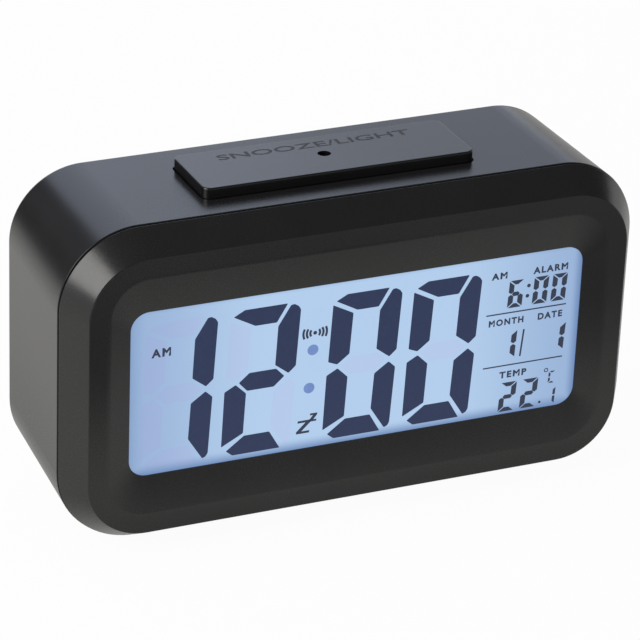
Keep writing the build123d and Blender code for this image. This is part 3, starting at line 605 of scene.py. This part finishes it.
def band(x, z, radius, width, start, end):
    """A flat arc of some width, from one angle to another."""
    turns = [math.radians(start + (end - start) * i / arc_steps) for i in range(arc_steps + 1)]
    outer = arc(x, z, radius + width / 2, turns)
    inner = arc(x, z, radius - width / 2, turns)
    return plate(outer + inner[::-1])


def zed(left, right, low, high, bar, slope):
    """A bold letter Z, with bars and a slope of some thickness."""
    outline = [
        (left, high), (right, high), (right, high - bar), (left + slope, low + bar), (right, low + bar),
        (right, low), (left, low), (left, low + bar), (right - slope, high - bar), (left, high - bar),
    ]
    return plate([(x + zed_lean * (z - low), z) for x, z in outline])


sign_plates = [dot(wave_x, wave_z, small_dot_radius)]
for side in (0, 180):
    for radius, spread in wave_rings:
        sign_plates.append(band(wave_x, wave_z, radius, wave_width, side - spread, side + spread))
    sign_plates.append(band(degree_x, degree_z, degree_radius, degree_width, side, side + 180))
sign_plates.append(zed(left=-14.22, right=-11.1, low=-16.16, high=-12.95, bar=0.55, slope=1.2))
sign_plates.append(zed(left=-11.2, right=-9.5, low=-13.5, high=-11.5, bar=0.46, slope=0.95))
on_display("display_signs", sign_plates, small_blue)

# The glass and the backlight: two sheets of glass, films, and a clear plate that spreads the light of
# small lamps at its ends. A white ring holds the stack between the frame and the main board.
glass = new_finish("display_glass")
glass_tint = (0.86, 0.92, 0.93)
glass.put({
    "Base Color": shade(glass_tint),
    "Roughness": glass.noise(glass.place(), scale=60.0).between(0.03, 0.08),
    "Transmission Weight": 0.9,
    "IOR": 1.52,
})
dress(glass, "lcd_front_glass", "lcd_rear_glass")

guide = new_finish("light_guide_acrylic")
clear_acrylic = (0.86, 0.90, 0.93)
etched_acrylic = (0.95, 0.96, 0.97)
dot_pitch = 1.5 * mm
dot_reach = 0.45 * mm
guide_place = guide.place()
off_x = abs(guide.along(guide_place, "X") % dot_pitch - dot_pitch / 2)
off_z = abs(guide.along(guide_place, "Z") % dot_pitch - dot_pitch / 2)
etched = (off_x + off_z < dot_reach)
guide.put({
    "Base Color": guide.mix(etched, shade(clear_acrylic), shade(etched_acrylic)),
    "Roughness": etched.between(0.06, 0.56),
    "Transmission Weight": 0.8,
    "IOR": 1.49,
})
dress(guide, "light_guide")

white_film = moulded_plastic(
    "white_film", colour=(0.78, 0.78, 0.77), roughness=0.6, texture_depth=0.004, specular=0.4,
)
dress(white_film, "lcd_rear_polariser", "diffuser_sheet", "reflector_sheet")
holder_plastic = moulded_plastic(
    "holder_plastic", colour=(0.66, 0.66, 0.63), roughness=0.45, texture_depth=0.01, specular=0.5,
)
dress(holder_plastic, "lcd_holder")

lamp = new_finish("lamp_resin")
yellow_resin = (0.85, 0.83, 0.62)
pale_resin = (0.92, 0.92, 0.85)
blue_light = (0.6, 0.75, 1.0)
pale_light = (0.75, 0.86, 1.0)
lamp_cloud = lamp.noise(lamp.place(), scale=700.0)
lamp.put({
    "Base Color": lamp.mix(lamp_cloud, shade(yellow_resin), shade(pale_resin)),
    "Roughness": lamp_cloud.between(0.2, 0.3),
    "Emission Color": lamp.mix(lamp_cloud, shade(blue_light), shade(pale_light)),
    "Emission Strength": 0.8,
})
dress(lamp, "backlight_leds")

zebra = new_finish("zebra_rubber")
plain_rubber = (0.50, 0.40, 0.36)
carbon_rubber = (0.03, 0.03, 0.032)
layer_pitch = 0.4 * mm
layer = (zebra.along(zebra.place(), "X") % layer_pitch > layer_pitch / 2)
zebra.put({
    "Base Color": zebra.mix(layer, shade(plain_rubber), shade(carbon_rubber)),
    "Roughness": layer.between(0.55, 0.75),
})
dress(zebra, "zebra_strip")

# The circuit boards: glass-fibre laminate under green lacquer, with copper tracks that show through.
# The main board is screwed to the frame's posts, the others hang in the housing.
board = new_finish("board_lacquer")
lacquer_green = (0.012, 0.085, 0.030)
track_green = (0.030, 0.160, 0.055)
track_edge = (0.10, 0.06)
weave_relief = 0.15
board_place = board.place()
track_cells = board.node(
    "ShaderNodeTexVoronoi", {"feature": "DISTANCE_TO_EDGE"},
    {"Vector": board_place, "Scale": 260.0, "Randomness": 0.35},
)
track = track_cells.ramp(*track_edge)
weave = board.noise(board_place, scale=1800.0)
board.put({
    "Base Color": board.mix(track, shade(lacquer_green), shade(track_green)),
    "Roughness": weave.between(0.30, 0.42),
    "Normal": board.relief(track + weave_relief * weave, depth=0.03),
})
dress(board, "main_board", "top_board", "key_board")

resin = new_finish("potting_resin")
resin_black = (0.008, 0.008, 0.008)
resin_grey = (0.02, 0.02, 0.021)
ripple = resin.noise(resin.place(), scale=260.0, detail=3.0)
resin.put({
    "Base Color": resin.mix(ripple, shade(resin_black), shade(resin_grey)),
    "Roughness": ripple.between(0.22, 0.42),
    "Normal": resin.relief(ripple, depth=0.12),
})
dress(resin, "chip_blob", "thermistor")


def worked_metal(name, colour, roughness, stretch):
    """Plain metal with the fine lines of rolling or drawing along one direction."""
    line_gloss = 0.25
    finish = new_finish(name)
    place = finish.node("ShaderNodeMapping", inputs={"Vector": finish.place(), "Scale": stretch})
    lines = finish.noise(place, scale=1.0, detail=3.0)
    finish.put({
        "Base Color": finish.tones(lines, colour, low=0.8, high=1.1),
        "Metallic": 1.0,
        "Roughness": lines.between(roughness - line_gloss / 2, roughness + line_gloss / 2),
        "Normal": finish.relief(lines, depth=0.006),
    })
    return finish


zinc = worked_metal(
    "zinc_plate", colour=(0.60, 0.61, 0.63), roughness=0.34, stretch=(300.0, 2500.0, 2500.0),
)
dress(zinc, "crystal", "slide_switch_case")

sleeve = new_finish("capacitor_sleeve")
sleeve_navy = (0.015, 0.02, 0.09)
sleeve_blue = (0.02, 0.03, 0.12)
can_silver = (0.72, 0.72, 0.73)
can_end_depth = 0.15 * mm
can_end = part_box("capacitors")[1].y
sleeve_place = sleeve.place()
bare_can = (sleeve.along(sleeve_place, "Y") > can_end - can_end_depth)
sleeve_cloud = sleeve.noise(sleeve_place, scale=500.0)
printed_sleeve = sleeve.mix(sleeve_cloud, shade(sleeve_navy), shade(sleeve_blue))
sleeve.put({
    "Base Color": sleeve.mix(bare_can, printed_sleeve, shade(can_silver)),
    "Metallic": bare_can,
    "Roughness": sleeve_cloud.between(0.25, 0.35),
})
dress(sleeve, "capacitors")

# The housing: top, sides, bottom and back in one drafted shell of black ABS with a fine satin texture.
# Its back has the openings for keys, slide switch, sound, screws and cells.
housing_plastic = moulded_plastic(
    "housing_plastic", colour=(0.011, 0.011, 0.012), roughness=0.25, texture_depth=0.003, specular=0.405,
)
dress(housing_plastic, "rear_housing", "battery_door")

# The snooze and light button: a broad cap of the housing's plastic, square to the sloping top, held
# under it by a flange. Two push switches and a light cell lie on the board below it.
# The button's plastic is given a darker colour than the housing's as painted shade on its front wall,
# and more gloss on its top.
button_plastic_with_painted_shade = moulded_plastic(
    "button_plastic_with_painted_shade", colour=(0.005, 0.005, 0.0055), roughness=0.24, texture_depth=0.003, specular=0.57,
)
dress(button_plastic_with_painted_shade, "snooze_button")
top_lean = math.radians(2.2)
button_middle = Vector((0, 2.399, 75.132))
button_proud = 2.5
label_x = -0.10
label_width = 45.65
label_height = 2.85
label_behind = 5.40
label_weight = 0.01
label_skin = 0.02
out_of_top = Vector((0, math.sin(top_lean), math.cos(top_lean)))
back_along_top = Vector((0, math.cos(top_lean), -math.sin(top_lean)))
label_run = Vector((label_width, 0, 0))
label_rise = label_height * back_along_top
label_middle = button_middle + button_proud * out_of_top + label_behind * back_along_top
label_corner = label_middle + Vector((label_x, 0, 0)) - (label_run + label_rise) / 2
label_letters, _ = word("SNOOZE/LIGHT", label_weight)
label = lay(label_letters, label_corner, label_run, label_rise)
print_black = moulded_plastic(
    "label_print", colour=(0.014, 0.012, 0.010), roughness=0.45, texture_depth=0.002, specular=0.24,
)
label_piece = thin_piece("snooze_label", [label], 0.0, label_skin, out_of_top)
settle(label_piece, print_black, "snooze")

switch_plastic = moulded_plastic(
    "switch_plastic", colour=(0.022, 0.022, 0.022), roughness=0.45, texture_depth=0.01, specular=0.5,
)
dress(switch_plastic, "snooze_switches", "key_switches", "slide_switch_knob")
plunger_plastic = moulded_plastic(
    "plunger_plastic", colour=(0.55, 0.55, 0.52), roughness=0.4, texture_depth=0.008, specular=0.5,
)
dress(plunger_plastic, "snooze_plungers", "mode_plunger", "set_plunger", "up_plunger", "down_plunger")

sensor = new_finish("light_cell")
cell_orange = (0.30, 0.08, 0.02)
cell_tan = (0.42, 0.30, 0.18)
loop_pitch = 0.6 * mm
loop = (sensor.along(sensor.place(), "Y") % loop_pitch > loop_pitch / 2)
sensor.put({
    "Base Color": sensor.mix(loop, shade(cell_orange), shade(cell_tan)),
    "Roughness": loop.between(0.3, 0.4),
    "Coat Weight": 0.6,
})
dress(sensor, "light_sensor")

# The keys at the back: four oblong caps in the housing's plastic, held by a flange inside, each over
# a push switch on the key board, with its word printed below it. The slide switch has ON and OFF.
key_plastic = moulded_plastic(
    "key_plastic", colour=(0.024, 0.024, 0.026), roughness=0.42, texture_depth=0.006, specular=0.4,
)
dress(key_plastic, "mode_key", "set_key", "up_key", "down_key")
back_y = 21.9
key_row = 60.95
legend_drop = 5.6
legend_height = 1.9
legend_weight = 0.015
legend_spacing = 1.1
legend_skin = 0.02
knob_half_travel = 1.5
switch_word_offset = 3.4
to_back = Vector((0, 1, 0))


def back_word(text, x):
    """A word printed on the back wall under a key, read from behind."""
    letters, shape = word(text, legend_weight, legend_spacing)
    width = shape * legend_height
    corner = Vector((x + width / 2, back_y, key_row - legend_drop - legend_height / 2))
    return lay(letters, corner, run=Vector((-width, 0, 0)), rise=Vector((0, 0, legend_height)))


def middle_x(node):
    """The middle of a node between its left and right ends."""
    low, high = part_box(node)
    return (low.x + high.x) / 2 / mm


legends = [back_word(key.upper(), middle_x(f"{key}_key")) for key in ("mode", "set", "up", "down")]
switch_middle = middle_x("slide_switch_knob") + knob_half_travel
legends.append(back_word("OFF", switch_middle - switch_word_offset))
legends.append(back_word("ON", switch_middle + switch_word_offset))
print_grey = moulded_plastic(
    "legend_print", colour=(0.42, 0.42, 0.42), roughness=0.5, texture_depth=0.002, specular=0.3,
)
settle(thin_piece("key_legends", legends, 0.0, legend_skin, to_back), print_grey, "case")

# The buzzer: a disc of rolled brass with a thin layer of silvered ceramic, which bends it to make the
# sound. It is glued on a ring behind the sound holes.
brass = worked_metal(
    "rolled_brass", colour=(0.70, 0.50, 0.20), roughness=0.3, stretch=(400.0, 3000.0, 3000.0),
)
dress(brass, "buzzer_disc")
ceramic = new_finish("silvered_ceramic")
silver_dull = (0.55, 0.54, 0.50)
silver_pale = (0.72, 0.71, 0.67)
ceramic_grain = ceramic.noise(ceramic.place(), scale=1500.0, detail=3.0)
ceramic.put({
    "Base Color": ceramic.mix(ceramic_grain, shade(silver_dull), shade(silver_pale)),
    "Metallic": 0.4,
    "Roughness": ceramic_grain.between(0.45, 0.65),
})
dress(ceramic, "buzzer_ceramic")

# The cells and their contacts: three AAA cells in plain sleeves, dark with a copper band at the
# positive end, between nickel-plated steel plates and conical wire springs.
nickel = worked_metal(
    "nickel_plate", colour=(0.66, 0.64, 0.60), roughness=0.26, stretch=(2500.0, 2500.0, 300.0),
)
dress(nickel, "contact_negative", "contact_positive", "contact_link_left", "contact_link_right")
dress(nickel, "battery_springs")
sleeve_black = (0.012, 0.012, 0.013)
sleeve_grey = (0.022, 0.022, 0.024)
sleeve_copper = (0.55, 0.24, 0.09)
steel_end = (0.64, 0.63, 0.60)
copper_reach = 13.0 * mm
plus_reach = 1.9 * mm
minus_reach = 0.5 * mm
copper_metal = 0.9
for index, way in ((1, 1), (2, -1), (3, 1)):
    cell_low, cell_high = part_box(f"battery_{index}")
    plus_x, minus_x = (cell_high.x, cell_low.x) if way > 0 else (cell_low.x, cell_high.x)
    cell = new_finish(f"cell_sleeve_{index}")
    cell_place = cell.place()
    lengthways = cell.along(cell_place, "X")
    from_plus = abs(lengthways - plus_x)
    from_minus = abs(lengthways - minus_x)
    bare = (from_plus < plus_reach) + (from_minus < minus_reach)
    copper = (from_plus < copper_reach)
    scuff = cell.noise(cell_place, scale=350.0, detail=3.0)
    dark = cell.mix(scuff, shade(sleeve_black), shade(sleeve_grey))
    printed = cell.mix(copper, dark, shade(sleeve_copper))
    cell.put({
        "Base Color": cell.mix(bare, printed, shade(steel_end)),
        "Metallic": (bare + copper * copper_metal).least(1.0),
        "Roughness": scuff.between(0.26, 0.38),
    })
    dress(cell, f"battery_{index}")


# The leads and ribbons: stranded wire in soft PVC, and flat ribbons of wires side by side. Both ends
# of each are soldered to a board or a contact.
def insulation(name, colour):
    """Soft plastic round a wire, with faint clouds of tone and gloss."""
    finish = new_finish(name)
    cloud = finish.noise(finish.place(), scale=400.0)
    finish.put({
        "Base Color": finish.tones(cloud, colour, low=0.85, high=1.15),
        "Roughness": cloud.between(0.38, 0.50),
    })
    return finish


dress(insulation("red_insulation", (0.50, 0.015, 0.012)), "battery_lead_red", "buzzer_leads")
dress(insulation("black_insulation", (0.012, 0.012, 0.012)), "battery_lead_black")
ribbon = new_finish("ribbon_insulation")
ribbon_grey = (0.36, 0.36, 0.38)
valley_painted_shade = (0.20, 0.20, 0.21)
wire_pitch = 1.0 * mm
off_wire = abs(ribbon.along(ribbon.place(), "X") % wire_pitch - wire_pitch / 2)
valley = off_wire / (wire_pitch / 2)
# The colour darkens from each wire into the valleys between them as painted shade.
ribbon.put({
    "Base Color": ribbon.mix(valley, shade(ribbon_grey), shade(valley_painted_shade)),
    "Roughness": valley.between(0.4, 0.55),
    "Normal": ribbon.relief(1 - valley, depth=0.15),
})
dress(ribbon, "key_ribbon", "top_ribbon")

# The screws: zinc-plated steel with cross slots and rolled threads. Four long ones in deep holes hold
# the case together from the back, and short ones hold the boards.
screw_steel = worked_metal(
    "screw_steel", colour=(0.52, 0.52, 0.53), roughness=0.36, stretch=(900.0, 900.0, 900.0),
)
dress(screw_steel, "case_screws", "main_board_screws", "top_board_screws", "key_board_screws")

# The feet: four round pads of soft black rubber, dull and finely grained, stuck under the housing.
# They end in one plane, on which the clock stands.
rubber = new_finish("foot_rubber")
rubber_black = (0.012, 0.012, 0.012)
rubber_grey = (0.026, 0.026, 0.026)
rubber_grain = rubber.noise(rubber.place(), scale=1400.0, detail=3.0)
rubber.put({
    "Base Color": rubber.mix(rubber_grain, shade(rubber_black), shade(rubber_grey)),
    "Roughness": rubber_grain.between(0.75, 0.90),
    "Normal": rubber.relief(rubber_grain, depth=0.03),
    "Specular IOR Level": 0.25,
})
dress(rubber, "foot_front_left", "foot_front_right", "foot_rear_left", "foot_rear_right")

# The studio: a white floor that keeps the clock's shadow, white near the horizon and dark overhead, two
# cool softboxes behind, a warm one above the left and a dim fill in front. In the clock's gloss alone,
# the
# floor carries painted shadow: a dark band before the clock for the shadow that it casts forward, and a
# greyer zone from close beside its left across under it for its contact shadow. Farther in front the
# floor shows a mid grey in gloss, a dark card lies on it behind the clock at the left, and one stands
# behind it at the left.
floor_size = 4.0
bpy.ops.object.select_all(action="DESELECT")
bpy.ops.mesh.primitive_plane_add(size=floor_size)
floor = bpy.context.object
floor.name = "floor"


def ray(finish, kind):
    """1 for rays of one kind, else 0."""
    return finish.node("ShaderNodeLightPath", output=f"Is {kind} Ray")


def seen(finish):
    """1 for the camera's own rays and for what gloss and glass show, else 0."""
    return (ray(finish, "Camera") + ray(finish, "Glossy") + ray(finish, "Transmission")).least(1.0)


def grey(level):
    """A colourless shade."""
    return shade((level, level, level))


white_level = grey(1.0)
lit_share = 0.96
paper_warm = (0.87, 0.86, 0.83)
# Painted contact shadow: in gloss the floor is greyer from close beside the clock's left across under
# it.
contact_shadow_grey = (0.65, 0.645, 0.63)
contact_shadow_x = (-0.094, -0.076)
contact_shadow_y = (-0.045, -0.030)
# Painted cast shadow: in gloss a dark band lies on the floor before the clock, darker towards the left.
cast_shadow_x = (0.05, 0.09)
cast_shadow_y = (-0.06, -0.11)
cast_shadow_levels = (0.11, 0.30)
foreground_y = (-0.11, -0.165)
foreground_level = 0.45
back_card_x = (-0.12, -0.30)
back_card_y = (0.06, 0.20)
back_card_level = 0.07

paper = new_finish("floor_paper")
paper_place = paper.place()
paper_grain = paper.noise(paper_place, scale=300.0)
paper.put({
    "Base Color": paper.mix(paper_grain, grey(0.80), grey(0.84)),
    "Roughness": 0.9,
    "Specular IOR Level": 0.0,
})
paper_x = paper.along(paper_place, "X")
paper_y = paper.along(paper_place, "Y")
shadow_dark, shadow_pale = cast_shadow_levels
painted_cast_shadow = paper.mix(paper_x.ramp(*cast_shadow_x), grey(shadow_dark), grey(shadow_pale))
# The glossed floor takes the painted contact shadow, then the painted cast shadow before the clock.
contact_shadow_share = paper_x.ramp(*contact_shadow_x) * paper_y.ramp(*contact_shadow_y)
back_left = paper_x.ramp(*back_card_x) * paper_y.ramp(*back_card_y)
glossed = paper.mix(contact_shadow_share, shade(paper_warm), shade(contact_shadow_grey))
glossed = paper.mix(paper_y.ramp(*cast_shadow_y), glossed, painted_cast_shadow)
glossed = paper.mix(paper_y.ramp(*foreground_y), glossed, grey(foreground_level))
glossed = paper.mix(back_left, glossed, grey(back_card_level))
paper_light = paper.mix(ray(paper, "Camera"), glossed, white_level)
paper_glow = paper.node("ShaderNodeEmission", inputs={"Color": paper_light, "Strength": 1.0})
paper_shader = Field(paper, paper.tree.nodes["Principled BSDF"].outputs[0])
paper_shaders = {0: lit_share * seen(paper), 1: paper_shader, 2: paper_glow}
paper_mix = paper.node("ShaderNodeMixShader", inputs=paper_shaders)
paper.feed(paper.tree.nodes["Material Output"].inputs["Surface"], paper_mix)
floor.data.materials.append(paper.owner)

room_strength = 0.4
side_level = 0.8
front_level = 0.5
front_turn = (-0.4, -0.8)
far_card_level = 0.05
far_card_left = (-0.15, -0.45)
far_card_back = (0.2, 0.6)
ceiling_climb = (0.05, 0.30)
ceiling_dark = (0.10, 0.10, 0.11)

world = bpy.data.worlds.new("studio")
bpy.context.scene.world = world
surround = Finish(world)
surround.tree.nodes.clear()
direction = surround.node("ShaderNodeTexCoord", output="Generated")
sideward = surround.along(direction, "X")
backward = surround.along(direction, "Y")
upward = surround.along(direction, "Z")
to_far_card = sideward.ramp(*far_card_left) * backward.ramp(*far_card_back)
around = surround.mix(backward.ramp(*front_turn), grey(side_level), grey(front_level))
around = surround.mix(to_far_card, around, grey(far_card_level))
horizon = surround.mix(ray(surround, "Camera"), around, white_level)
shown = surround.mix(upward.ramp(*ceiling_climb), horizon, shade(ceiling_dark))
room_light = {"Color": white_level, "Strength": room_strength}
room = surround.node("ShaderNodeBackground", inputs=room_light)
backdrop = surround.node("ShaderNodeBackground", inputs={"Color": shown, "Strength": 1.0})
both = surround.node("ShaderNodeMixShader", inputs={0: seen(surround), 1: room, 2: backdrop})
surround.node("ShaderNodeOutputWorld", inputs={"Surface": both})

clock_middle = Vector((0, 0, 0.04))
cool_light = (0.74, 0.82, 1.0)
warm_light = (1.0, 0.99, 0.97)
plain_light = (1.0, 1.0, 1.0)


def softbox(name, place, size, watts, colour):
    """A broad lamp that points at the clock."""
    bpy.ops.object.select_all(action="DESELECT")
    bpy.ops.object.light_add(type="AREA", location=place)
    box = bpy.context.object
    box.name = name
    box.data.shape = "RECTANGLE"
    box.data.size, box.data.size_y = size
    box.data.energy = watts
    box.data.color = colour
    box.rotation_euler = (clock_middle - Vector(place)).to_track_quat("-Z", "Y").to_euler()


softbox("back_softbox", place=(0.065, 0.85, 0.50), size=(0.60, 0.7), watts=1.77, colour=cool_light)
softbox("right_softbox", place=(0.49, 0.85, 0.50), size=(0.25, 0.7), watts=0.51, colour=cool_light)
softbox("left_softbox", place=(-0.84, -0.12, 0.56), size=(0.60, 0.65), watts=8.1, colour=warm_light)
softbox("front_fill", place=(0.50, -1.0, 0.6), size=(0.6, 0.6), watts=0.2, colour=plain_light)
